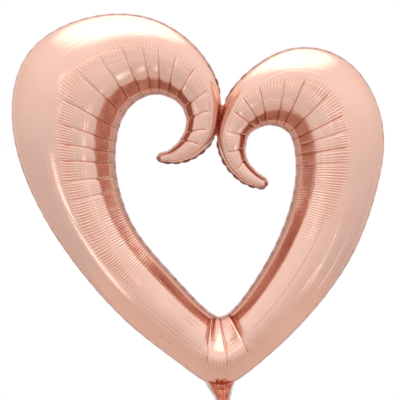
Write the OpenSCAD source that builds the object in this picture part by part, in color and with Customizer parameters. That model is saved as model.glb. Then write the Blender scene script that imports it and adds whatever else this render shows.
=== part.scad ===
// Open-heart foil balloon: one long film tube, filled with gas, that follows a heart outline
// and curls in at both lobes to a pointed hook. Two cut film panels are welded edge to edge.
// X is to the right, Z is up and Y is depth. The front faces -Y and the weld lies at Y = 0.
// The origin is the neck, where a ribbon or weight is tied under the point of the heart.

/* [Balloon] */
// Width of the filled heart, tube edge to tube edge
heart_w = 860; // [600:10:1000]
// Depth of the filled tube as a share of its width
puff = 0.95; // [0.7:0.01:1]
// Modelled wall thickness of the film
film_t = 0.5; // [0.3:0.1:0.8]
// Rings per rib interval along the tube
steps = 4; // [4:2:6]
// Points over each half of the tube
arc_points = 11; // [9:2:15]

/* [Weld] */
// Width of the welded margin outside the tube
margin_w = 4; // [3:0.5:5]
// Thickness of the two welded films
margin_t = 0.6; // [0.4:0.1:0.8]

/* [Neck and tail] */
// Half gap of the slot that joins the tube to the neck
slot_half = 2.2; // [2:0.1:3]
// Lower edge of the neck
neck_end = -3; // [-4:0.5:-2]
// Upper edge of the tail, below the fold line
tail_top = -9; // [-12:0.5:-8]
// Length of the filling tail
tail_len = 66; // [50:1:90]
// Half thickness of the tail at its upper edge
tail_top_half = 2.2; // [2:0.1:3]
// Half thickness of the tail at its mouth
tail_mouth_half = 4.2; // [3.8:0.1:5]
// Width of the weld down each side of the tail
tail_weld_w = 5; // [3:0.5:7]

/* [Valve] */
// Thickness of each valve film
valve_t = 0.3; // [0.2:0.1:0.4]
// Width of the valve films
valve_w = 22; // [16:1:24]
// Length of the valve films inside the balloon
valve_len = 56; // [40:1:60]
// Gap between each valve film and the tail film that covers it
valve_gap = 0.4; // [0.3:0.1:0.5]
// Length of the weld that holds each valve film in the mouth of the tail
valve_weld_len = 6; // [4:1:8]

/* [Hidden] */

// Each rib crosses the tube: outer edge X, outer edge Z, inner edge X, inner edge Z.
// They run from the left hook's tip, over the left lobe, down, and up to the right hook's tip.
RIBS = [
  [-148, 536, -148, 539],
  [-145, 532, -145, 542],
  [-132, 526, -133, 547],
  [-80, 530, -104, 565],
  [-18, 582, -83, 597],
  [-6, 625, -78, 620],
  [-1, 668, -83, 645],
  [-44, 774, -112, 677],
  [-155, 857, -155, 688],
  [-310, 863, -206, 667],
  [-446, 785, -238, 620],
  [-488, 640, -250, 562],
  [-452, 480, -247, 488],
  [-360, 316, -210, 378],
  [-222, 156, -120, 264],
  [-75, 40, -27, 170],
  [-2, 4, -4, 160],
  [74, 44, 19, 168],
  [196, 158, 85, 249],
  [302, 302, 150, 374],
  [366, 475, 179, 498],
  [371, 640, 172, 576],
  [298, 758, 156, 602],
  [180, 792, 130, 614],
  [70, 740, 101, 614],
  [15, 674, 80, 605],
  [-1, 625, 64, 592],
  [-8, 580, 56, 566],
  [8, 526, 56, 541],
  [48, 482, 72, 512],
  [92, 466, 101, 488],
  [105, 470, 107, 482],
  [108, 475, 109, 478]
];
DESIGN_W = 859;
NECK_RIB = 16;
NECK_SPAN = 0.5;
NECK_HALF_W = 29;

k = heart_w / DESIGN_W;
film_rose = [0.87, 0.66, 0.60];
film_copper = [0.78, 0.45, 0.36];
film_clear = [0.93, 0.90, 0.88];

// Catmull-Rom curve through a list of points, at a whole-number place plus a fraction
function rib_at(i) = RIBS[max(0, min(len(RIBS) - 1, i))];
function spline(a, b, c, d, t) =
  0.5 * (2 * b + (c - a) * t + (2 * a - 5 * b + 4 * c - d) * t * t + (3 * b - a - 3 * c + d) * t * t * t);
function rib(i, t) = k * spline(rib_at(i - 1), rib_at(i), rib_at(i + 1), rib_at(i + 2), t);

LAST = (len(RIBS) - 1) * steps;
STATIONS = [for (s = [0 : LAST]) rib(min(floor(s / steps), len(RIBS) - 2), s == LAST ? 1 : (s % steps) / steps)];

function outer_edge(r) = [r[0], r[1]];
function inner_edge(r) = [r[2], r[3]];
function middle(r) = (outer_edge(r) + inner_edge(r)) / 2;
function half_width(r) = norm(outer_edge(r) - inner_edge(r)) / 2;
function outward(r) = (outer_edge(r) - inner_edge(r)) / (2 * half_width(r));

// The tube is pulled flatter where it turns the corner at the heart's point
CORNER_SPAN = 1.6;
CORNER_DIP = 0.17;
function depth_share(s) =
  let (away = min(1, abs(s / steps - NECK_RIB) / CORNER_SPAN))
  puff * (1 - CORNER_DIP * pow(cos(90 * away), 2));

// The slot into the neck is a flat ellipse, open for a short way each side of the neck rib
function slot_at(s) = slot_half * sqrt(max(0, 1 - pow((s / steps - NECK_RIB) / NECK_SPAN, 2)));

// One half of the tube's section at a station, from its inner edge to its outer edge
function half_section(s, wall, side) =
  let (
    r = STATIONS[s],
    h = half_width(r),
    across = max(h - wall, 0.4 * h),
    full = depth_share(s) * h,
    deep = max(full - wall, 0.4 * full),
    end_angle = asin(slot_at(s) / full)
  )
  [for (j = [0 : arc_points - 1])
    let (
      a = 180 - (180 - end_angle) * j / (arc_points - 1),
      p = middle(r) + outward(r) * across * cos(a)
    )
    [p[0], side * deep * sin(a), p[1]]];

// A closed skin over a list of rings. A ring goes along one edge of its section and back along
// the other, so each end is closed by a row of quads between the two.
function cap(n, first) = [for (j = [0 : n / 2 - 2], half = [0, 1])
  half == 0 ? [first + j, first + j + 1, first + n - 2 - j] : [first + j, first + n - 2 - j, first + n - 1 - j]];
function flip(faces) = [for (f = faces) [for (j = [len(f) - 1 : -1 : 0]) f[j]]];
function skin_faces(rings, n) = concat(
  flip(cap(n, 0)),
  [for (i = [0 : rings - 2], j = [0 : n - 1], half = [0, 1])
    let (a = i * n + j, b = i * n + (j + 1) % n)
    half == 0 ? [a, b, b + n] : [a, b + n, a + n]],
  cap(n, (rings - 1) * n)
);

module skin(rings, inside_out) {
  faces = skin_faces(len(rings), len(rings[0]));
  polyhedron(points = [for (ring = rings, p = ring) p], faces = inside_out ? flip(faces) : faces);
}

// Half of the tube, as a shell of one film thickness. side is -1 at the front and 1 at the back.
module half_tube(side) {
  rings = [for (s = [0 : LAST])
    let (inner_wall = half_section(s, film_t, side))
    concat(half_section(s, 0, side), [for (j = [arc_points - 1 : -1 : 0]) inner_wall[j]])];
  skin(rings, side < 0);
}

module front_panel() {
  color(film_rose) half_tube(-1);
}

module back_panel() {
  color(film_rose) half_tube(1);
}

// The tube's outline, flat
module outline() {
  polygon(concat([for (r = STATIONS) outer_edge(r)], [for (s = [LAST : -1 : 0]) inner_edge(STATIONS[s])]));
}

// The whole welded margin as a flat sheet: it runs all round the tube, and stops at the neck
module margin_sheet() {
  rotate([90, 0, 0])
    linear_extrude(margin_t, center = true)
      difference() {
        offset(r = margin_w, $fn = 16) outline();
        outline();
        translate([-NECK_HALF_W * k - 4, -20]) square([2 * NECK_HALF_W * k + 6, 35]);
      }
}

// Where the two lobes press together, their margins are one web
module cleft_block() {
  translate([-16 * k, -5, 575 * k]) cube([28 * k, 10, 110 * k]);
}

module seam_margin() {
  color(film_copper) difference() {
    margin_sheet();
    cleft_block();
  }
}

module cleft_web() {
  color(film_rose) intersection() {
    margin_sheet();
    cleft_block();
  }
}

// The neck is a flat collar from the slot down to the tie, cut here into front and back
NECK_STATIONS = [(NECK_RIB - NECK_SPAN) * steps : (NECK_RIB + NECK_SPAN) * steps];
function neck_x(s) = NECK_HALF_W * k * (2 * (s / steps - NECK_RIB + NECK_SPAN) / (2 * NECK_SPAN) - 1);
module neck_half(side) {
  rings = [for (s = NECK_STATIONS)
    let (
      r = STATIONS[s],
      far = max(slot_at(s), film_t + 0.3),
      near = far - film_t
    )
    [
      [r[0], side * near, r[1]],
      [r[0], side * far, r[1]],
      [neck_x(s), side * far, neck_end],
      [neck_x(s), side * near, neck_end]
    ]];
  skin(rings, side < 0);
}

module neck_front() {
  color(film_copper) neck_half(-1);
}

module neck_back() {
  color(film_copper) neck_half(1);
}

// The tail: rows of Z below the fold, middle X and half width
TAIL = [
  [0, 1, 21],
  [10, 3, 16],
  [22, 5, 12],
  [36, 5, 13],
  [50, 4, 16],
  [66, 4, 18]
];
FOLD_BAND = 4;
tail_k = tail_len / 66;
function tail_z(row) = tail_top - tail_k * row[0];
function tail_half(z) = tail_top_half + (tail_mouth_half - tail_top_half) * (tail_top - z) / tail_len;

module tail_film(side) {
  rings = [for (row = TAIL)
    let (z = tail_z(row), y = tail_half(z), x = row[1], w = row[2])
    [
      [x - w, side * 0.3, z],
      [x - w + FOLD_BAND, side * y, z],
      [x + w - FOLD_BAND, side * y, z],
      [x + w, side * 0.3, z],
      [x + w - film_t, side * 0.3, z],
      [x + w - FOLD_BAND - film_t, side * (y - film_t), z],
      [x - w + FOLD_BAND + film_t, side * (y - film_t), z],
      [x - w + film_t, side * 0.3, z]
    ]];
  skin(rings, side > 0);
}

module tail_front() {
  color(film_copper) tail_film(-1);
}

module tail_back() {
  color(film_copper) tail_film(1);
}

// A welded strip down one side of the tail
module tail_side_weld(side) {
  rings = [for (row = TAIL)
    let (z = tail_z(row), near = row[1] + side * row[2], far = near + side * tail_weld_w)
    [
      [near, -0.3, z],
      [near, 0.3, z],
      [far, 0.3, z],
      [far, -0.3, z]
    ]];
  skin(rings, side < 0);
}

module tail_side_welds() {
  color(film_copper) for (side = [-1, 1]) tail_side_weld(side);
}

// A thin four-sided film: its upper and lower edges are [Z, middle X, width, near Y, far Y]
module film_strip(upper, lower) {
  rings = [for (edge = [upper, lower])
    let (z = edge[0], x = edge[1], w = edge[2] / 2)
    [[x - w, edge[3], z], [x + w, edge[3], z], [x + w, edge[4], z], [x - w, edge[4], z]]];
  skin(rings, false);
}

// Inside the balloon the valve is two flat films that the gas presses together
VALVE_HALF_GAP = 0.2;
module valve_film(side) {
  near = side > 0 ? VALVE_HALF_GAP : -VALVE_HALF_GAP - valve_t;
  far = near + valve_t;
  film_strip([neck_end + valve_len, 0, valve_w, near, far], [neck_end + 1, 0, valve_w, near, far]);
}

module valve_front_flap() {
  color(film_clear) valve_film(-1);
}

module valve_back_film() {
  color(film_clear) valve_film(1);
}

// In the tail each valve film lies along the tail film outside it
tail_mouth_z = tail_top - tail_len;
VALVE_TAIL_X = 4;
VALVE_TAIL_W = 14;
function valve_edge(z, side, gap, thick) =
  let (far = tail_half(z) - film_t - gap, near = far - thick)
  side > 0 ? [z, VALVE_TAIL_X, VALVE_TAIL_W, near, far] : [z, VALVE_TAIL_X, VALVE_TAIL_W, -far, -near];

module valve_sleeve(side) {
  film_strip(valve_edge(tail_top, side, valve_gap, valve_t), valve_edge(tail_mouth_z, side, valve_gap, valve_t));
}

module valve_front_sleeve() {
  color(film_clear) valve_sleeve(-1);
}

module valve_back_sleeve() {
  color(film_clear) valve_sleeve(1);
}

module valve_mouth_welds() {
  color(film_clear) for (side = [-1, 1])
    film_strip(
      valve_edge(tail_mouth_z + valve_weld_len, side, 0, valve_gap),
      valve_edge(tail_mouth_z, side, 0, valve_gap)
    );
}

front_panel();
back_panel();
seam_margin();
cleft_web();
neck_front();
neck_back();
tail_front();
tail_back();
tail_side_welds();
valve_front_flap();
valve_back_film();
valve_front_sleeve();
valve_back_sleeve();
valve_mouth_welds();
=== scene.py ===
import math

import bpy
import numpy as np
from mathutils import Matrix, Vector
from mathutils.bvhtree import BVHTree


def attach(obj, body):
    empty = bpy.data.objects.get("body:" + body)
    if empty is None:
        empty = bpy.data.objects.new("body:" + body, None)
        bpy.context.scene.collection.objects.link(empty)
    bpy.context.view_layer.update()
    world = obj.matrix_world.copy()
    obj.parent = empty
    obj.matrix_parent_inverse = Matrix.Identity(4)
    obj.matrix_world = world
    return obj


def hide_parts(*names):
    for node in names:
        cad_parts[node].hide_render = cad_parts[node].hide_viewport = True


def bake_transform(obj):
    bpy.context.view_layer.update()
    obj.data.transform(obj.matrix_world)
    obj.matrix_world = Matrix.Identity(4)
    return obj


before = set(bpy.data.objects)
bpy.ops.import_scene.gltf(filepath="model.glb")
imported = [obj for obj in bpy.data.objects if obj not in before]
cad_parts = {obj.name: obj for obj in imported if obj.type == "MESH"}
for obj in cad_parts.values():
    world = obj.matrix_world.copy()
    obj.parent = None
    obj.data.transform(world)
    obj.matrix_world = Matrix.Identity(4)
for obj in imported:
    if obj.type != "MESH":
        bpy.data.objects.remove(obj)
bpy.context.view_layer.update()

# ---------------------------------------------------------------------------------------------
# Film tube: the balloon's body, one tube of metallised film that follows an open heart and ends
# in two hooks. Two cut panels make it, front and back. Gas pulls the outer half smooth, and the
# shorter inner half gathers into fine pleats with a deep crease every few centimetres.

MM = 0.001

# Ribs across the tube: outer edge X, outer edge Z, inner edge X, inner edge Z, in millimetres.
RIBS = np.array([
    [-148, 536, -148, 539],
    [-145, 532, -145, 542],
    [-132, 526, -133, 547],
    [-80, 530, -104, 565],
    [-18, 582, -83, 597],
    [-6, 625, -78, 620],
    [-1, 668, -83, 645],
    [-44, 774, -112, 677],
    [-155, 857, -155, 688],
    [-310, 863, -206, 667],
    [-446, 785, -238, 620],
    [-488, 640, -250, 562],
    [-452, 480, -247, 488],
    [-360, 316, -210, 378],
    [-222, 156, -120, 264],
    [-75, 40, -27, 170],
    [-2, 4, -4, 160],
    [74, 44, 19, 168],
    [196, 158, 85, 249],
    [302, 302, 150, 374],
    [366, 475, 179, 498],
    [371, 640, 172, 576],
    [298, 758, 156, 602],
    [180, 792, 130, 614],
    [70, 740, 101, 614],
    [15, 674, 80, 605],
    [-1, 625, 64, 592],
    [-8, 580, 56, 566],
    [8, 526, 56, 541],
    [48, 482, 72, 512],
    [92, 466, 101, 488],
    [105, 470, 107, 482],
    [108, 475, 109, 478],
], float)
NECK_RIB = 16

# Depth as a share of the width. The tube is flatter where it turns the corner at the point.
PUFF = 0.95
CORNER_DIP = 0.17
CORNER_REACH = 170

# A panel is a grid: rings across the tube, close enough for the pleats, and rows along it. The
# outer rows, past ROW_CHANGE of the half turn from inner to outer edge, use every fourth ring.
RING_GAP = 1.1
RINGS_PER_COARSE = 4
INNER_ROWS = 32
OUTER_ROWS = 11
ROW_CHANGE = 0.71

# Deep creases, in millimetres along the tube from the left hook's tip.
CREASES = [
    95, 130, 170, 210, 260, 305, 345, 380, 425, 480, 540, 610, 665, 710, 750, 800, 845,
    1310, 1353, 1398,
    1880, 1915, 1950, 1985, 2040, 2100, 2142, 2200, 2238, 2270, 2312, 2356, 2396,
]
CREASE_LEAN = 12

# Where the gathers start, as a share of the width from the inner edge, how hard the film is
# gathered, and how far down the slope the pleats keep their depth, against run along the tube.
CREST = np.array([
    [0, 0.72], [260, 0.74], [345, 0.67], [430, 0.64], [495, 0.61], [620, 0.56], [680, 0.54],
    [740, 0.56], [865, 0.61], [990, 0.66], [1050, 0.62], [1110, 0.57], [1250, 0.70], [1310, 0.79],
    [1398, 0.79], [1450, 0.70], [1670, 0.42], [1775, 0.56], [1855, 0.59], [2160, 0.63],
    [2275, 0.72], [2472, 0.74],
], float)
GATHER = np.array([
    [60, 0], [120, 0.25], [345, 0.40], [430, 0.50], [620, 0.75], [700, 1], [1040, 1], [1115, 0],
    [1240, 0], [1280, 0.7], [1400, 0.7], [1440, 0], [1670, 0], [1760, 0.8], [1850, 1], [2050, 1],
    [2130, 0.55], [2280, 0.4], [2400, 0.2], [2430, 0],
], float)
PLEAT_REACH = np.array([[0, 0.3], [500, 0.12], [760, 0.14], [860, 0.6], [1100, 0.8], [1280, 0.05],
                        [1420, 0.05], [1660, 0.9], [1850, 0.9], [1990, 0.4], [2472, 0.2]], float)
SMOOTH_STRETCH = np.array([[0, 0.3], [620, 0.5], [1050, 1], [1250, 1], [1300, 0.2], [1400, 0.2],
                           [1450, 1], [1700, 1], [1900, 0.5], [2472, 0.3]], float)
# How much painted shade greys and darkens the film beside the inner weld, more on the long arms than on the
# hooks.
PAINTED_EDGE_SHADE = np.array([[500, 0.35], [800, 1], [1750, 1], [2050, 0.35]], float)

# Between these two angles from the inner edge the panel is pulled almost flat.
FLAT_BAND = (0.42, 0.92)
FLAT_SHARE = 0.9

# Inside the point the film is drawn into one sloping facet, this far to each side of its middle.
FACET_RUN = 1353
FACET_REACH = 52
FACET_SHARE = 0.95
FACET_WIDTH = 1.04
FACET_CURVE = 1.5
FACET_END = 2.2


def read_spline(knots, values, at):
    """A natural cubic spline through values at knots, read at the places at."""
    gap = np.diff(knots)
    slope = np.diff(values, axis=0) / gap[:, None]
    count = len(knots)
    system = np.eye(count)
    pull = np.zeros_like(values)
    for i in range(1, count - 1):
        system[i, i - 1:i + 2] = gap[i - 1], 2 * (gap[i - 1] + gap[i]), gap[i]
        pull[i] = 6 * (slope[i] - slope[i - 1])
    bend = np.linalg.solve(system, pull)
    k = np.clip(np.searchsorted(knots, at) - 1, 0, count - 2)
    b = ((at - knots[k]) / gap[k])[..., None]
    a = 1 - b
    cubic = ((a ** 3 - a) * bend[k] + (b ** 3 - b) * bend[k + 1]) * gap[k][..., None] ** 2 / 6
    return a * values[k] + b * values[k + 1] + cubic


def step_up(low, high, value):
    t = np.clip((value - low) / (high - low), 0, 1)
    return t * t * (3 - 2 * t)


def measure(line):
    """Distance along a line of points, at each of its points."""
    return np.concatenate([[0], np.cumsum(np.linalg.norm(np.diff(line, axis=0), axis=1))])


knots = measure((RIBS[:, :2] + RIBS[:, 2:]) / 2)
trial = np.linspace(0, knots[-1], 4000)
trial_edges = read_spline(knots, RIBS, trial)
trial_run = measure((trial_edges[:, :2] + trial_edges[:, 2:]) / 2)
TUBE_RUN = trial_run[-1]
neck_run = np.interp(knots[NECK_RIB], trial, trial_run)


def tube_edges(run):
    """Outer and inner edge of the tube at a distance along its middle line."""
    return read_spline(knots, RIBS, np.interp(run, trial_run, trial))


def tube_point(run, angle):
    """A point of the plain tube in millimetres: angle 0 is the inner edge, pi is the outer edge."""
    edges = tube_edges(run)
    outer, inner = edges[..., :2], edges[..., 2:]
    middle = (outer + inner) / 2
    half = (outer - inner) / 2
    corner = np.clip(np.abs(run - neck_run) / CORNER_REACH, 0, 1)
    puff = PUFF * (1 - CORNER_DIP * np.cos(corner * math.pi / 2) ** 2)
    flat = middle - half * np.cos(angle)[..., None]
    round_side = np.sin(angle)
    facet_side = ((1 - np.cos(angle)) / FACET_WIDTH) ** FACET_CURVE
    lower_side = ((round_side + 1e-6) ** -8 + (facet_side + 1e-6) ** -8) ** (-1 / 8)
    share = FACET_SHARE * np.exp(-((run - FACET_RUN) / FACET_REACH) ** 6)
    section = round_side + share * np.where(angle < FACET_END, lower_side - round_side, 0)
    low, high = FLAT_BAND
    way = (np.cos(low) - np.cos(angle)) / (np.cos(low) - np.cos(high))
    chord = np.sin(low) + (np.sin(high) - np.sin(low)) * way
    in_band = (angle > low) & (angle < high)
    section = section + np.where(in_band, FLAT_SHARE * (1 - share) * (chord - round_side), 0)
    depth = puff * np.linalg.norm(half, axis=-1) * section
    return np.stack([flat[..., 0], -depth, flat[..., 1]], -1)


def add_mesh(name, points_mm, faces, smooth=True):
    mesh = bpy.data.meshes.new(name)
    mesh.from_pydata((np.asarray(points_mm) * MM).tolist(), [], faces)
    mesh.validate()
    mesh.shade_smooth() if smooth else mesh.shade_flat()
    piece = bpy.data.objects.new(name, mesh)
    bpy.context.scene.collection.objects.link(piece)
    return piece


def add_value(piece, name, values):
    layer = piece.data.attributes.new(name, "FLOAT", "POINT")
    layer.data.foreach_set("value", np.asarray(values, np.float32).ravel())


coarse_rings = int(round(TUBE_RUN / (RING_GAP * RINGS_PER_COARSE)))
ring_count = coarse_rings * RINGS_PER_COARSE + 1
ring_run = np.linspace(0, TUBE_RUN, ring_count)


def pleat_phases(seed):
    """Each pleat takes five to seven rings, so that its top and foot fall on rings."""
    rng = np.random.default_rng(seed)
    phase = []
    while len(phase) < ring_count:
        rings = rng.choice([5, 6, 6, 7])
        phase += [k / rings for k in range(rings)]
    return np.array(phase[:ring_count])


def film_panel(name, side, seed):
    """Half of the tube as a grid. The rows over the outer half use every fourth ring."""
    share = np.linspace(0, 1, INNER_ROWS + 1)
    angles = ROW_CHANGE * math.pi * share
    outer_angles = math.pi * (ROW_CHANGE + (1 - ROW_CHANGE) * np.linspace(0, 1, OUTER_ROWS + 1)[1:])
    lean = -CREASE_LEAN * np.clip(1 - angles / (0.5 * math.pi), 0, 1)
    ease = step_up(0, 60, ring_run) * step_up(0, 60, TUBE_RUN - ring_run)
    run = ring_run[:, None] + lean[None, :] * ease[:, None]
    inner_points = tube_point(run, np.broadcast_to(angles, run.shape))
    coarse_run = np.repeat(ring_run[::RINGS_PER_COARSE, None], OUTER_ROWS, 1)
    outer_points = tube_point(coarse_run, np.broadcast_to(outer_angles, coarse_run.shape))
    points = np.concatenate([inner_points.reshape(-1, 3), outer_points.reshape(-1, 3)])
    points[:, 1] *= side

    rows = INNER_ROWS + 1
    first_outer = ring_count * rows
    faces = []
    for i in range(ring_count - 1):
        for j in range(INNER_ROWS):
            a = i * rows + j
            faces.append((a, a + 1, a + 1 + rows, a + rows))
    for k in range(coarse_rings):
        last = [(k * RINGS_PER_COARSE + n) * rows + INNER_ROWS for n in range(RINGS_PER_COARSE + 1)]
        c0 = first_outer + k * OUTER_ROWS
        c1 = c0 + OUTER_ROWS
        faces += [(last[0], c0, last[1]), (last[1], c0, last[2]), (last[2], c0, c1)]
        faces += [(last[2], c1, last[3]), (last[3], c1, last[4])]
        for j in range(OUTER_ROWS - 1):
            faces.append((c0 + j, c0 + j + 1, c1 + j + 1, c1 + j))
    if side < 0:
        faces = [face[::-1] for face in faces]
    piece = add_mesh(name, points, faces)

    # Values for the folds and for the painted shade. They are zero over the smooth outer half, except for
    # the streaks.
    # "below" is the angle by which a point lies below the crest, where the gathers start.
    crest = np.arccos(1 - 2 * np.interp(ring_run, *CREST.T))[:, None]
    below = crest - angles[None, :]
    edge_ease = step_up(0, 0.42, angles)[None, :]
    reach = np.interp(ring_run, *PLEAT_REACH.T)[:, None]
    slope_share = reach + (1 - reach) * (1 - step_up(0.20, 0.42, below))
    gather = np.interp(ring_run, *GATHER.T)[:, None]
    pleat_share = gather * step_up(0, 0.10, below) * slope_share * edge_ease
    crease_gap = np.abs(ring_run[:, None] - np.array(CREASES)[None, :]).min(1)
    near_crease = 1 - step_up(36, 70, crease_gap)[:, None]
    crease_share = near_crease * step_up(0, 0.22, below) * edge_ease
    marks = np.concatenate([[0], CREASES, [TUBE_RUN]])
    slot = np.clip(np.searchsorted(marks, ring_run) - 1, 0, len(marks) - 2)
    between = (ring_run - marks[slot]) / (marks[slot + 1] - marks[slot])
    pillow = 4 * between * (1 - between)
    wide = np.ones(rows)[None, :]
    spare = np.zeros(coarse_run.size)
    along = np.concatenate([(ring_run[:, None] * wide).ravel(), coarse_run.ravel()])
    outer_wide = np.broadcast_to(outer_angles, coarse_run.shape)
    across = np.concatenate([np.broadcast_to(angles, run.shape).ravel(), outer_wide.ravel()])
    smooth = np.interp(along, *SMOOTH_STRETCH.T)
    streak_share = smooth * np.sin(across) ** 0.5 * step_up(0.7, 1.2, across)
    phase = pleat_phases(seed)[:, None] * wide
    # Painted shade and painted reflection: the colour is deepened in the pleats' valleys and towards the
    # inner edge, where the film mirrors itself.
    valley = (1 - np.abs(np.sin(phase * math.pi))) ** 2 * pleat_share * (1 - step_up(0.3, 0.6, below))
    packed = 0.72 * (1 - step_up(0.1, 1.05, across)) + 0.28 * (1 - step_up(0.1, 0.5, across))
    packed += 0.8 * np.concatenate([valley.ravel(), spare])
    # Painted shade: the film is greyed and darkened beside the inner weld.
    dull = (1 - step_up(0.2, 0.52, across)) * np.interp(along, *PAINTED_EDGE_SHADE.T)
    for value_name, values in (
        ("pleat_phase", np.concatenate([phase.ravel(), spare])),
        ("pleat_share", np.concatenate([pleat_share.ravel(), spare])),
        ("crease_gap", np.concatenate([(crease_gap[:, None] * wide).ravel(), spare + 99])),
        ("crease_share", np.concatenate([crease_share.ravel(), spare])),
        ("pillow", np.concatenate([(pillow[:, None] * wide).ravel(), spare])),
        ("along", along / 1000),
        ("across", across),
        ("streak_share", streak_share),
        ("packed", packed),
        ("dull", dull),
    ):
        add_value(piece, value_name, values)
    return piece


def node(tree, kind, **settings):
    made = tree.nodes.new(kind)
    for key, value in settings.items():
        setattr(made, key, value)
    return made


def math_node(tree, operation, *inputs):
    made = node(tree, "ShaderNodeMath", operation=operation)
    for socket, value in zip(made.inputs, inputs):
        if isinstance(value, (int, float)):
            socket.default_value = value
        else:
            tree.links.new(value, socket)
    return made.outputs[0]


def fold_tree():
    """Geometry nodes that press pleats, creases and pillows into a film panel."""
    tree = bpy.data.node_groups.new("film_folds", "GeometryNodeTree")
    face = tree.interface
    face.new_socket("Geometry", in_out="INPUT", socket_type="NodeSocketGeometry")
    for name in (
        "Pleat Depth", "Crease Depth", "Crease Reach", "Pillow Height", "Streak Height", "Seed",
    ):
        face.new_socket(name, in_out="INPUT", socket_type="NodeSocketFloat")
    face.new_socket("Material", in_out="INPUT", socket_type="NodeSocketMaterial")
    face.new_socket("Geometry", in_out="OUTPUT", socket_type="NodeSocketGeometry")
    given = node(tree, "NodeGroupInput")
    done = node(tree, "NodeGroupOutput")

    def value(name):
        reader = node(tree, "GeometryNodeInputNamedAttribute", data_type="FLOAT")
        reader.inputs["Name"].default_value = name
        return reader.outputs["Attribute"]

    noise = node(tree, "ShaderNodeTexNoise", noise_dimensions="4D")
    noise.inputs["Scale"].default_value = 26
    noise.inputs["Detail"].default_value = 2
    tree.links.new(given.outputs["Seed"], noise.inputs["W"])
    uneven = math_node(tree, "MULTIPLY_ADD", noise.outputs["Fac"], 2.2, -0.1)

    turn = math_node(tree, "MULTIPLY", value("pleat_phase"), math.pi)
    wave = math_node(tree, "SUBTRACT", math_node(tree, "ABSOLUTE", math_node(tree, "SINE", turn)), 1)
    pleat = math_node(tree, "MULTIPLY", wave, value("pleat_share"))
    pleat_depth = math_node(tree, "MULTIPLY", uneven, given.outputs["Pleat Depth"])
    pleat = math_node(tree, "MULTIPLY", pleat, pleat_depth)
    fall = math_node(tree, "DIVIDE", value("crease_gap"), given.outputs["Crease Reach"])
    cut = math_node(tree, "EXPONENT", math_node(tree, "MULTIPLY", fall, -1))
    crease_fall = math_node(tree, "MULTIPLY", given.outputs["Crease Depth"], -1)
    cut = math_node(tree, "MULTIPLY", cut, crease_fall)
    swell = math_node(tree, "MULTIPLY", value("pillow"), given.outputs["Pillow Height"])
    crease = math_node(tree, "MULTIPLY", math_node(tree, "ADD", cut, swell), value("crease_share"))

    place = node(tree, "ShaderNodeCombineXYZ")
    tree.links.new(math_node(tree, "MULTIPLY", value("along"), 1.6), place.inputs[0])
    tree.links.new(math_node(tree, "MULTIPLY", value("across"), 2.4), place.inputs[1])
    drawn = node(tree, "ShaderNodeTexNoise", noise_dimensions="4D")
    drawn.inputs["Scale"].default_value = 1
    drawn.inputs["Detail"].default_value = 2
    tree.links.new(place.outputs[0], drawn.inputs["Vector"])
    tree.links.new(given.outputs["Seed"], drawn.inputs["W"])
    streak = math_node(tree, "MULTIPLY", math_node(tree, "SUBTRACT", drawn.outputs["Fac"], 0.5), 2)
    streak_height = math_node(tree, "MULTIPLY", value("streak_share"), given.outputs["Streak Height"])
    streak = math_node(tree, "MULTIPLY", streak, streak_height)
    rise = math_node(tree, "ADD", math_node(tree, "ADD", pleat, crease), streak)

    normal = node(tree, "GeometryNodeInputNormal")
    offset = node(tree, "ShaderNodeVectorMath", operation="SCALE")
    tree.links.new(normal.outputs[0], offset.inputs[0])
    tree.links.new(rise, offset.inputs["Scale"])
    move = node(tree, "GeometryNodeSetPosition")
    tree.links.new(given.outputs["Geometry"], move.inputs["Geometry"])
    tree.links.new(offset.outputs[0], move.inputs["Offset"])
    real = node(tree, "GeometryNodeRealizeInstances")
    tree.links.new(move.outputs[0], real.inputs[0])
    paint = node(tree, "GeometryNodeSetMaterial")
    tree.links.new(real.outputs[0], paint.inputs["Geometry"])
    tree.links.new(given.outputs["Material"], paint.inputs["Material"])
    tree.links.new(paint.outputs[0], done.inputs[0])
    return tree


def press_folds(piece, tree, material, **sizes):
    """Runs the fold tree on a piece, keeps the result as its mesh, and removes the modifier."""
    modifier = piece.modifiers.new("folds", "NODES")
    modifier.node_group = tree
    wanted = {key.replace("_", " ").title(): size for key, size in sizes.items()}
    wanted["Material"] = material
    for item in tree.interface.items_tree:
        if item.in_out == "INPUT" and item.name in wanted:
            modifier[item.identifier] = wanted[item.name]
    bpy.context.view_layer.update()
    graph = bpy.context.evaluated_depsgraph_get()
    mesh = bpy.data.meshes.new_from_object(piece.evaluated_get(graph), depsgraph=graph)
    piece.modifiers.clear()
    piece.data = mesh
    mesh.name = piece.name
    if len(mesh.materials) == 0:
        mesh.materials.append(material)
    mesh.shade_smooth()


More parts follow.
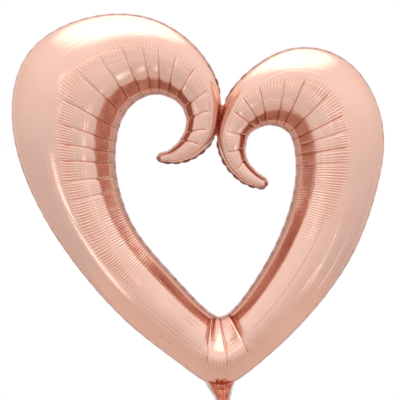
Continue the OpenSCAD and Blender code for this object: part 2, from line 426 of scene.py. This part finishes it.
def film_group():
    """Film surface: faint colour drift, haze and tiny crinkles, shared by all the film materials."""
    tree = bpy.data.node_groups.new("film_surface", "ShaderNodeTree")
    face = tree.interface
    face.new_socket("Light Colour", in_out="INPUT", socket_type="NodeSocketColor")
    face.new_socket("Deep Colour", in_out="INPUT", socket_type="NodeSocketColor")
    face.new_socket("Haze", in_out="INPUT", socket_type="NodeSocketFloat")
    face.new_socket("Crinkle Scale", in_out="INPUT", socket_type="NodeSocketFloat")
    face.new_socket("Color", in_out="OUTPUT", socket_type="NodeSocketColor")
    face.new_socket("Roughness", in_out="OUTPUT", socket_type="NodeSocketFloat")
    face.new_socket("Height", in_out="OUTPUT", socket_type="NodeSocketFloat")
    given = node(tree, "NodeGroupInput")
    done = node(tree, "NodeGroupOutput")
    place = node(tree, "ShaderNodeTexCoord")
    drift = node(tree, "ShaderNodeTexNoise")
    drift.inputs["Scale"].default_value = 9
    drift.inputs["Detail"].default_value = 3
    tree.links.new(place.outputs["Object"], drift.inputs["Vector"])
    blend = node(tree, "ShaderNodeMix", data_type="RGBA")
    tree.links.new(math_node(tree, "MULTIPLY_ADD", drift.outputs["Fac"], 1.6, -0.3), blend.inputs["Factor"])
    tree.links.new(given.outputs["Light Colour"], blend.inputs[6])
    tree.links.new(given.outputs["Deep Colour"], blend.inputs[7])
    fine = node(tree, "ShaderNodeTexNoise")
    fine.inputs["Detail"].default_value = 4
    tree.links.new(place.outputs["Object"], fine.inputs["Vector"])
    tree.links.new(given.outputs["Crinkle Scale"], fine.inputs["Scale"])
    patchy = math_node(tree, "ADD", drift.outputs["Fac"], 0.5)
    haze = math_node(tree, "MULTIPLY", given.outputs["Haze"], patchy)
    tree.links.new(blend.outputs[2], done.inputs["Color"])
    tree.links.new(haze, done.inputs["Roughness"])
    tree.links.new(fine.outputs["Fac"], done.inputs["Height"])
    return tree


film_surface = film_group()


def film_material(
    name, light, deep, haze, crinkle_scale, crinkle_mm,
    painted_shade_tint=(0.92, 0.58, 0.44), edge_tint=(0.86, 0.66, 0.56), metallic=1.0, coat=0.0,
):
    """A film. Where small folds lie together and mirror each other, a tint deepens it as painted
    shade and painted reflection, and beside the inner weld a second tint greys it as painted shade."""
    material = bpy.data.materials.new(name)
    material.use_nodes = True
    tree = material.node_tree
    shader = tree.nodes["Principled BSDF"]
    surface = node(tree, "ShaderNodeGroup", node_tree=film_surface)
    surface.inputs["Light Colour"].default_value = (*light, 1)
    surface.inputs["Deep Colour"].default_value = (*deep, 1)
    surface.inputs["Haze"].default_value = haze
    surface.inputs["Crinkle Scale"].default_value = crinkle_scale
    bump = node(tree, "ShaderNodeBump")
    bump.inputs["Distance"].default_value = crinkle_mm * MM
    tree.links.new(surface.outputs["Height"], bump.inputs["Height"])
    # Painted shade and painted reflection: a value on each point deepens the colour by the tint.
    packed = node(tree, "ShaderNodeAttribute", attribute_name="packed")
    deepen = node(tree, "ShaderNodeMix", data_type="RGBA", blend_type="MULTIPLY")
    deepen.inputs[7].default_value = (*painted_shade_tint, 1)
    tree.links.new(packed.outputs["Fac"], deepen.inputs["Factor"])
    tree.links.new(surface.outputs["Color"], deepen.inputs[6])
    # Painted shade: beside the inner weld the colour is greyed and darkened.
    dull = node(tree, "ShaderNodeAttribute", attribute_name="dull")
    edge_shade_mix = node(tree, "ShaderNodeMix", data_type="RGBA", blend_type="MULTIPLY")
    edge_shade_mix.inputs[7].default_value = (0.54, 0.62, 0.72, 1)
    tree.links.new(dull.outputs["Fac"], edge_shade_mix.inputs["Factor"])
    tree.links.new(deepen.outputs[2], edge_shade_mix.inputs[6])
    tree.links.new(edge_shade_mix.outputs[2], shader.inputs["Base Color"])
    tree.links.new(surface.outputs["Roughness"], shader.inputs["Roughness"])
    tree.links.new(bump.outputs["Normal"], shader.inputs["Normal"])
    shader.inputs["Metallic"].default_value = metallic
    shader.inputs["Coat Weight"].default_value = coat
    shader.inputs["Coat Roughness"].default_value = 0.12
    shader.inputs["Specular Tint"].default_value = (*edge_tint, 1)
    return material


rose_foil = film_material(
    "rose_foil", (0.75, 0.48, 0.395), (0.69, 0.42, 0.335), 0.18, 60, 0.25,
    painted_shade_tint=(0.82, 0.46, 0.35), coat=0.4,
)


def add_draw_lines(material, height_mm):
    """Long, thin, shallow lines that run along the tube, where the film was drawn tight."""
    tree = material.node_tree
    shader = tree.nodes["Principled BSDF"]
    crinkle = next(link.from_node for link in tree.links if link.to_socket == shader.inputs["Normal"])
    reader = {
        name: node(tree, "ShaderNodeAttribute", attribute_name=name).outputs["Fac"]
        for name in ("along", "across", "streak_share")
    }
    place = node(tree, "ShaderNodeCombineXYZ")
    tree.links.new(math_node(tree, "MULTIPLY", reader["along"], 1.5), place.inputs[0])
    tree.links.new(math_node(tree, "MULTIPLY", reader["across"], 3.0), place.inputs[1])
    drawn = node(tree, "ShaderNodeTexNoise")
    drawn.inputs["Scale"].default_value = 1
    drawn.inputs["Detail"].default_value = 1
    tree.links.new(place.outputs[0], drawn.inputs["Vector"])
    off = math_node(tree, "ABSOLUTE", math_node(tree, "SUBTRACT", drawn.outputs["Fac"], 0.5))
    line = node(tree, "ShaderNodeMapRange", interpolation_type="SMOOTHSTEP")
    for socket, number in zip(("From Min", "From Max", "To Min", "To Max"), (0, 0.035, 1, 0)):
        line.inputs[socket].default_value = number
    tree.links.new(off, line.inputs["Value"])
    groove = node(tree, "ShaderNodeBump", invert=True)
    groove.inputs["Distance"].default_value = height_mm * MM
    line_height = math_node(tree, "MULTIPLY", line.outputs["Result"], reader["streak_share"])
    tree.links.new(line_height, groove.inputs["Height"])
    tree.links.new(crinkle.outputs["Normal"], groove.inputs["Normal"])
    tree.links.new(groove.outputs["Normal"], shader.inputs["Normal"])


add_draw_lines(rose_foil, 0.8)
folds = fold_tree()
panels = {}
for name, cad_node, side, seed in (
    ("foil_front", "front_panel", 1, 3),
    ("foil_back", "back_panel", -1, 8),
):
    panel = film_panel(name, side, seed)
    press_folds(
        panel, folds, rose_foil, pleat_depth=2.0 * MM, crease_depth=3.4 * MM, crease_reach=1.4,
        pillow_height=1.2 * MM, streak_height=2.0 * MM, seed=float(seed),
    )
    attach(panel, "balloon")
    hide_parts(cad_node)
    panels[side] = panel

# ---------------------------------------------------------------------------------------------
# Weld margin: the flat flange of both films outside the weld, about 4 mm wide all round the tube.
# It lies nearly flat along the arms, and puckers into short scallops along the back of each hook.

MARGIN_W = 4.0
MARGIN_T = 0.4
SCALLOP_PITCH = 22
SCALLOP_SWING = 2.2
HOOK_REACH = 300
MIN_STEP = 0.2

# The outer edge has no margin where the tube opens into the neck. In the cleft the margin is
# narrow, because the web takes its place.
NECK_HALF_W = 31
NECK_TOP_Z = 60
CLEFT_X = -3
CLEFT_HALF_W = 14
CLEFT_Z = (575, 690)


def swept(name, rings, smooth=True):
    """A closed skin over rings that all have the same number of points."""
    n = len(rings[0])
    faces = [tuple(range(n))]
    for i in range(len(rings) - 1):
        for j in range(n):
            a, b = i * n + j, i * n + (j + 1) % n
            faces.append((a, a + n, b + n, b))
    faces.append(tuple((len(rings) - 1) * n + j for j in reversed(range(n))))
    return add_mesh(name, [p for ring in rings for p in ring], faces, smooth)


margin_run = np.arange(0, TUBE_RUN, 2.0)
margin_edges = tube_edges(margin_run)
by_neck = (np.abs(margin_edges[:, 0]) < NECK_HALF_W) & (margin_edges[:, 1] < NECK_TOP_Z)
left_arm = (margin_run < neck_run) & ~by_neck
right_arm = (margin_run > neck_run) & ~by_neck
path = np.concatenate([
    margin_edges[left_arm, :2][::-1],
    margin_edges[:, 2:],
    margin_edges[right_arm, :2][::-1],
])
hook_gap = np.concatenate([
    margin_run[left_arm][::-1],
    np.full(len(margin_run), 1e4),
    TUBE_RUN - margin_run[right_arm][::-1],
])
apart = np.concatenate([[True], np.linalg.norm(np.diff(path, axis=0), axis=1) > MIN_STEP])
path, hook_gap = path[apart], hook_gap[apart]
path_run = measure(path)
ahead = np.gradient(path, axis=0)
ahead /= np.linalg.norm(ahead, axis=1)[:, None]
outward = np.stack([-ahead[:, 1], ahead[:, 0]], 1)
scallop = 1 - step_up(HOOK_REACH * 0.6, HOOK_REACH, hook_gap)
in_cleft = np.abs(path[:, 0] - CLEFT_X) < CLEFT_HALF_W
in_cleft &= (path[:, 1] > CLEFT_Z[0]) & (path[:, 1] < CLEFT_Z[1])
blur = np.hanning(15)
cleft_share = np.convolve(np.pad(in_cleft.astype(float), 7, mode="edge"), blur / blur.sum(), "valid")
lobe = np.abs(np.sin(path_run * math.pi / SCALLOP_PITCH))
ripple = np.sin(path_run * 2 * math.pi / 31) + 0.5 * np.sin(path_run * 2 * math.pi / 12.7 + 1)
wavy = 1 - 0.10 * (1 + ripple) / 2 + scallop * (0.65 * lobe - 0.45)
width = MARGIN_W * (1 - 0.8 * cleft_share) * wavy
free_scallop = SCALLOP_SWING * scallop * (1 - cleft_share)
swing = 0.35 * ripple + free_scallop * np.sin(path_run * math.pi / SCALLOP_PITCH)
near = path - outward * 0.5
far = path + outward * width[:, None]
margin_rings = [
    [
        (near[k, 0], -MARGIN_T / 2, near[k, 1]),
        (far[k, 0], swing[k] - MARGIN_T / 2, far[k, 1]),
        (far[k, 0], swing[k] + MARGIN_T / 2, far[k, 1]),
        (near[k, 0], MARGIN_T / 2, near[k, 1]),
    ]
    for k in range(len(path))
]
margin = swept("weld_margin", margin_rings, smooth=False)
# Painted shade: the scallops along the hooks are darkened.
add_value(margin, "packed", np.repeat(scallop, 4))

# The margin's colours are a darker copy of the film: painted shade and painted reflection where the flange
# curls.
weld_foil = film_material(
    "weld_foil", (0.64, 0.42, 0.38), (0.52, 0.32, 0.30), 0.36, 140, 0.3, painted_shade_tint=(0.5, 0.34, 0.34),
)
margin.data.materials.append(weld_foil)
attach(margin, "balloon")
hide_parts("seam_margin")

# ---------------------------------------------------------------------------------------------
# Cleft web: a short, crumpled stretch of both films between the two lobes, where they press
# together. It is welded flat like the margin. Its colour is painted dark red, darkest across its
# middle rows: painted shade and painted reflection of the dark gap between the lobes.

WEB_ROWS = 30
WEB_COLUMNS = 8
WEB_T = 0.6
WEB_Z = 584
WEB_H = 86
WEB_OVERLAP = 0.3
TIP_POINTS = 20


def sheet_faces(rows, columns, flip):
    """Faces of a thin closed sheet whose points are a grid, row by row, and the same grid again
    for its other side. Unflipped, the first grid faces -Y when columns run to +X and rows up.
    A flipped face keeps its first corner."""
    half = rows * columns
    faces = []
    for i in range(rows - 1):
        for j in range(columns - 1):
            a = i * columns + j
            face = (a, a + 1, a + 1 + columns, a + columns)
            faces += [face, tuple(half + v for v in face[::-1])]
    rim = list(range(columns))
    rim += [i * columns + columns - 1 for i in range(1, rows)]
    rim += [(rows - 1) * columns + k for k in range(columns - 2, -1, -1)]
    rim += [i * columns for i in range(rows - 2, 0, -1)]
    faces += [(b, a, half + a, half + b) for a, b in zip(rim, rim[1:] + rim[:1])]
    return [(face[0], *face[:0:-1]) for face in faces] if flip else faces


left_back = margin_edges[margin_run < 350, :2][TIP_POINTS:]
right_back = margin_edges[margin_run > TUBE_RUN - 350, :2][::-1][TIP_POINTS:]
web_points = []
web_shade = []
for layer in (-WEB_T / 2, WEB_T / 2):
    for row in range(WEB_ROWS + 1):
        up = row / WEB_ROWS
        for column in range(WEB_COLUMNS + 1):
            share = column / WEB_COLUMNS
            sag = 4 * share * (1 - share)
            z = WEB_Z + 5 * sag + (WEB_H - 16 * sag) * up
            left_x = np.interp(z, left_back[:, 1], left_back[:, 0]) - WEB_OVERLAP
            right_x = np.interp(z, right_back[:, 1], right_back[:, 0]) + WEB_OVERLAP
            fold = 1.6 * math.sin(row * 1.7 + column) + 1.2 * math.sin(row * 0.6 - 2 * column)
            web_points.append((left_x + (right_x - left_x) * share, sag * fold + layer, z))
            # Painted shade, darkest across the middle rows.
            web_shade.append(float(1 - step_up(0.35, 1, abs(2 * up - 0.9))))
web_faces = sheet_faces(WEB_ROWS + 1, WEB_COLUMNS + 1, flip=False)
web = add_mesh("cleft_weld", web_points, web_faces)
add_value(web, "packed", web_shade)
# Painted shade and painted reflection: a darker, redder copy of the film.
cleft_shaded_foil = film_material(
    "cleft_shaded_foil", (0.66, 0.24, 0.15), (0.54, 0.15, 0.09), 0.30, 140, 0.4, painted_shade_tint=(0.45, 0.15, 0.15),
)
web.data.materials.append(cleft_shaded_foil)
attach(web, "balloon")
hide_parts("cleft_web")

# ---------------------------------------------------------------------------------------------
# Neck and filling tail: the two films run on below the heart's point as a flat tube, gathered
# where the ribbon or weight is tied. Front and back are separate films. Both cross the tie.

# Height, middle X, half width of the film, in millimetres.
TAIL_ROWS = np.array([
    [24, 0, 30], [14, 0, 31], [7, 0.5, 29], [0, 1, 25], [-6, 1, 22], [-12, 1.5, 20], [-20, 3, 16.5],
    [-31, 5, 12.5], [-45, 5, 13], [-59, 4, 16], [-75, 4, 18],
], float)
# Height, greatest fold depth.
TAIL_FOLD = np.array([
    [24, 3.0], [14, 4.6], [6, 5.2], [-3, 4.8], [-10, 4.0], [-22, 3.6], [-40, 2.4], [-75, 1.0],
], float)
TAIL_FILM_T = 0.25
TAIL_ROW_COUNT = 90
TAIL_COLUMNS = 72
MOUTH_Z = -75

# How far the film stands off the valve: its sleeve's middle X, and the room over sleeve and flap.
SLEEVE_X = 4
SLEEVE_ROOM = 4.1
FLAP_ROOM = 1.9


def profile(rows, z, column=1):
    return np.interp(-np.asarray(z), -rows[:, 0], rows[:, column])


def gathers(u, z, seed):
    """Fold depth across the film: sharp folds that fan out upwards from the tie."""
    rng = np.random.default_rng(seed)
    depth = np.zeros(np.broadcast(u, z).shape)
    fan = 1 / (1 + 0.030 * np.clip(z + 8, 0, 40))
    for pitch in (0.17, 0.29, 0.46):
        start, bend, slide = rng.uniform(0, 1, 3)
        wander = 0.10 * np.sin(z / (9 + 8 * bend) + slide * 6)
        place = (u * fan + wander) / pitch + start
        depth += (1 - 2 * np.abs(np.sin(place * math.pi))) * (0.30 + pitch)
    crush = np.exp(-((z + 6 + 2 * np.sin(u * 4)) / 2.6) ** 2) + 0.8 * np.exp(-((z + 24 + 3 * u) / 3) ** 2)
    return depth - 1.1 * crush


def balloon_face(side, x, z):
    """How far the balloon's film stands from the middle plane at X, Z. Clear of it: a large minus."""
    faces = BVHTree.FromObject(panels[side], bpy.context.evaluated_depsgraph_get())
    found = np.full(np.shape(x), -9.0)
    for place, (px, pz) in enumerate(zip(np.ravel(x), np.ravel(np.broadcast_to(z, np.shape(x))))):
        if pz > 2:
            hit = faces.ray_cast(Vector((px * MM, -side * 0.5, pz * MM)), Vector((0, side, 0)), 0.5)[0]
            if hit is not None:
                found.flat[place] = -side * hit.y / MM
    return found


def tail_film(name, side, seed):
    down = np.linspace(0, 1, TAIL_ROW_COUNT)[:, None]
    u = np.linspace(-1, 1, TAIL_COLUMNS + 1)[None, :]
    top = 14 + 9 * (1 - np.abs(u) ** 2) + 2.5 * np.sin(u * 9 + seed)
    z = top + (MOUTH_Z - top) * down
    edge = np.clip(1 - np.abs(u) ** 6, 0, 1) ** 0.5
    x = profile(TAIL_ROWS, z) + u * profile(TAIL_ROWS, z, 2)
    fade = step_up(0, 0.04, down)
    on_balloon = balloon_face(side, x, z) + 0.5 - 1.6 * (1 - fade)
    by_sleeve = 1 - step_up(7.5, 12, np.abs(x - SLEEVE_X))
    below_tie = 1 - step_up(-9, -4, z)
    clear = 0.55 + 0.4 * edge + (SLEEVE_ROOM - 0.95) * by_sleeve * below_tie
    by_flap = (1 - step_up(11.5, 15, np.abs(x))) * (1 - below_tie)
    clear = np.maximum(clear, by_flap * (FLAP_ROOM + 0.08 * np.clip(z, 0, None)))
    fold = (np.clip(gathers(u, z, seed), -1, 1.2) + 1) / 2.2
    depth = fold * profile(TAIL_FOLD, z) * edge * fade * (1 - 0.5 * by_sleeve * below_tie)
    out = np.log(np.exp(clear) + np.exp(np.clip(on_balloon, -9, 60))) + depth
    outer = np.stack([x, side * -out, z], -1)
    inner = np.stack([x, side * -(out - TAIL_FILM_T), z], -1)
    points = np.concatenate([outer.reshape(-1, 3), inner.reshape(-1, 3)])
    film = add_mesh(name, points, sheet_faces(TAIL_ROW_COUNT, TAIL_COLUMNS + 1, flip=side > 0))
    # Painted shade: the colour is deepened in the valleys of the folds.
    valley = (1 - fold).ravel()
    add_value(film, "packed", np.concatenate([valley, valley]))
    return film


gathered_foil = film_material(
    "gathered_foil", (0.84, 0.53, 0.42), (0.76, 0.42, 0.32), 0.15, 90, 0.5,
    painted_shade_tint=(0.66, 0.30, 0.22),
)

for name, side, seed, nodes in (
    ("tail_film_front", 1, 5, ("neck_front", "tail_front")),
    ("tail_film_back", -1, 11, ("neck_back", "tail_back")),
):
    film = tail_film(name, side, seed)
    film.data.materials.append(gathered_foil)
    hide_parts(*nodes)
    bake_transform(film)

# ---------------------------------------------------------------------------------------------
# Tail side welds: both films pressed together down each side of the neck and the tail. They are
# coloured pale and greyish. They wave a little.

# Height, width of the weld.
LEFT_WELD_W = np.array([[12, 9], [0, 9], [-9, 7], [-31, 5], [-75, 5]], float)
RIGHT_WELD_W = np.array([[12, 3], [0, 4], [-9, 5], [-31, 5], [-75, 5]], float)
WELD_T = 0.4
WELD_TOP_Z = 12
WELD_ROWS = 70
WELD_COLUMNS = 7
weld_points = []
weld_faces = []
for hand, widths in ((-1, LEFT_WELD_W), (1, RIGHT_WELD_W)):
    first = len(weld_points)
    for layer in (-WELD_T / 2, WELD_T / 2):
        for z in np.linspace(WELD_TOP_Z, MOUTH_Z, WELD_ROWS):
            inner_x = profile(TAIL_ROWS, z) + hand * (profile(TAIL_ROWS, z, 2) - 0.3)
            for share in np.linspace(0, 1, WELD_COLUMNS):
                wave = share * (1.3 * math.sin(z / 4.3 + hand) + 0.7 * math.sin(z / 1.9))
                lift = 4 * share * max(z, 0) / WELD_TOP_Z
                x = inner_x + hand * share * profile(widths, z)
                weld_points.append((x, wave + layer, z + lift))
    for face in sheet_faces(WELD_ROWS, WELD_COLUMNS, flip=hand > 0):
        weld_faces.append(tuple(first + v for v in face))
side_welds = add_mesh("tail_welds", weld_points, weld_faces)
pale_weld = film_material(
    "pale_weld", (0.66, 0.60, 0.60), (0.52, 0.44, 0.44), 0.30, 150, 0.3, edge_tint=(0.8, 0.7, 0.7),
)
side_welds.data.materials.append(pale_weld)
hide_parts("tail_side_welds")
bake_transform(side_welds)

# ---------------------------------------------------------------------------------------------
# Self-sealing valve: two clear plastic films from the tail's mouth into the balloon. The front
# flap lifts while gas goes in, and gas presses it shut. Welds hold both films in the tail.

clear_film = bpy.data.materials.new("clear_film")
clear_film.use_nodes = True
clear_tree = clear_film.node_tree
clear_shader = clear_tree.nodes["Principled BSDF"]
clear_look = node(clear_tree, "ShaderNodeGroup", node_tree=film_surface)
clear_look.inputs["Light Colour"].default_value = (0.86, 0.88, 0.90, 1)
clear_look.inputs["Deep Colour"].default_value = (0.76, 0.79, 0.82, 1)
clear_look.inputs["Haze"].default_value = 0.3
clear_look.inputs["Crinkle Scale"].default_value = 220
clear_bump = node(clear_tree, "ShaderNodeBump")
clear_bump.inputs["Distance"].default_value = 0.2 * MM
clear_tree.links.new(clear_look.outputs["Height"], clear_bump.inputs["Height"])
clear_tree.links.new(clear_look.outputs["Color"], clear_shader.inputs["Base Color"])
clear_tree.links.new(clear_look.outputs["Roughness"], clear_shader.inputs["Roughness"])
clear_tree.links.new(clear_bump.outputs["Normal"], clear_shader.inputs["Normal"])
clear_shader.inputs["Alpha"].default_value = 0.6
for cad_name in (
    "valve_front_flap", "valve_back_film", "valve_front_sleeve", "valve_back_sleeve", "valve_mouth_welds",
):
    film_node = bpy.data.objects[cad_name]
    film_node.data.materials.clear()
    film_node.data.materials.append(clear_film)

# ---------------------------------------------------------------------------------------------
# Stage: a plain pale floor disc under the balloon, soft studio light and the camera, which looks
# level at the balloon's middle. The camera sees plain white behind it, and the film mirrors a
# room that is a little brighter above than below.

FLOOR_Z = -200
FLOOR_R = 900
FLOOR_SIDES = 96
floor_ring = [
    (math.cos(a) * FLOOR_R, math.sin(a) * FLOOR_R, FLOOR_Z)
    for a in np.linspace(0, 2 * math.pi, FLOOR_SIDES, endpoint=False)
]
floor = add_mesh("floor", floor_ring, [tuple(range(FLOOR_SIDES))])
floor_paint = bpy.data.materials.new("pale_floor")
floor_paint.use_nodes = True
floor_shader = floor_paint.node_tree.nodes["Principled BSDF"]
floor_shader.inputs["Base Color"].default_value = (0.64, 0.58, 0.54, 1)
floor_shader.inputs["Roughness"].default_value = 0.7
floor.data.materials.append(floor_paint)

SKY_UP = (0, -0.15, 1)
SKY_SPAN = 0.8
SKY_LOW = 0.82
SKY_HIGH = 1.32
scene = bpy.context.scene
world = bpy.data.worlds.new("studio")
scene.world = world
world.use_nodes = True
world_tree = world.node_tree
sky = world_tree.nodes["Background"]
direction = node(world_tree, "ShaderNodeTexCoord")
tilt = node(world_tree, "ShaderNodeVectorMath", operation="DOT_PRODUCT")
tilt.inputs[1].default_value = SKY_UP
world_tree.links.new(direction.outputs["Generated"], tilt.inputs[0])
rise = node(world_tree, "ShaderNodeMapRange", interpolation_type="SMOOTHSTEP")
for socket, number in (
    ("From Min", -SKY_SPAN), ("From Max", SKY_SPAN), ("To Min", SKY_LOW), ("To Max", SKY_HIGH),
):
    rise.inputs[socket].default_value = number
world_tree.links.new(tilt.outputs["Value"], rise.inputs["Value"])
world_tree.links.new(rise.outputs["Result"], sky.inputs["Strength"])
sky.inputs["Color"].default_value = (1, 0.99, 0.99, 1)
backdrop = node(world_tree, "ShaderNodeBackground")
backdrop.inputs["Color"].default_value = (1, 1, 1, 1)
seen = node(world_tree, "ShaderNodeLightPath")
choose = node(world_tree, "ShaderNodeMixShader")
world_tree.links.new(seen.outputs["Is Camera Ray"], choose.inputs[0])
world_tree.links.new(sky.outputs[0], choose.inputs[1])
world_tree.links.new(backdrop.outputs[0], choose.inputs[2])
world_tree.links.new(choose.outputs[0], world_tree.nodes["World Output"].inputs[0])


def softbox(name, place, aim, width, height, brightness):
    light = bpy.data.lights.new(name, "AREA")
    light.shape = "ELLIPSE"
    light.size, light.size_y = width, height
    light.energy = brightness * math.pi * width * height
    lamp = bpy.data.objects.new(name, light)
    lamp.location = place
    lamp.rotation_euler = (Vector(aim) - Vector(place)).to_track_quat("-Z", "Y").to_euler()
    lamp.visible_camera = False
    scene.collection.objects.link(lamp)


# Three boxes, one over another, so that the large light on the lobes fades at its rim.
for step, spread in enumerate((0.84, 1, 1.16)):
    place = (-0.1, 0.75, 2.3 + step / 100)
    softbox(f"top_box_{step}", place, (-0.1, 0.75, 0), 2.3 * spread, 3.6 * spread, 0.35)
softbox("low_left_box", (-1.7, -2.0, -0.9), (-0.05, 0, 0.4), 0.5, 0.9, 0.9)
softbox("low_right_box", (1.6, -2.0, -0.9), (-0.05, 0, 0.4), 0.5, 0.9, 0.9)
softbox("high_left_box", (-1.1, -3.0, 1.7), (-0.05, 0, 0.6), 0.9, 0.6, 0.7)

VIEW_MIDDLE = (-0.049, 0, 0.437)
VIEW_WIDTH = 0.94
CAMERA_GAP = 4.0
camera = bpy.data.objects.new("camera", bpy.data.cameras.new("camera"))
camera.data.sensor_width = 36
camera.data.lens = 36 * CAMERA_GAP / VIEW_WIDTH
camera.location = (VIEW_MIDDLE[0], -CAMERA_GAP, VIEW_MIDDLE[2])
camera.rotation_euler = (math.pi / 2, 0, 0)
scene.collection.objects.link(camera)
scene.camera = camera
scene.view_settings.view_transform = "Standard"
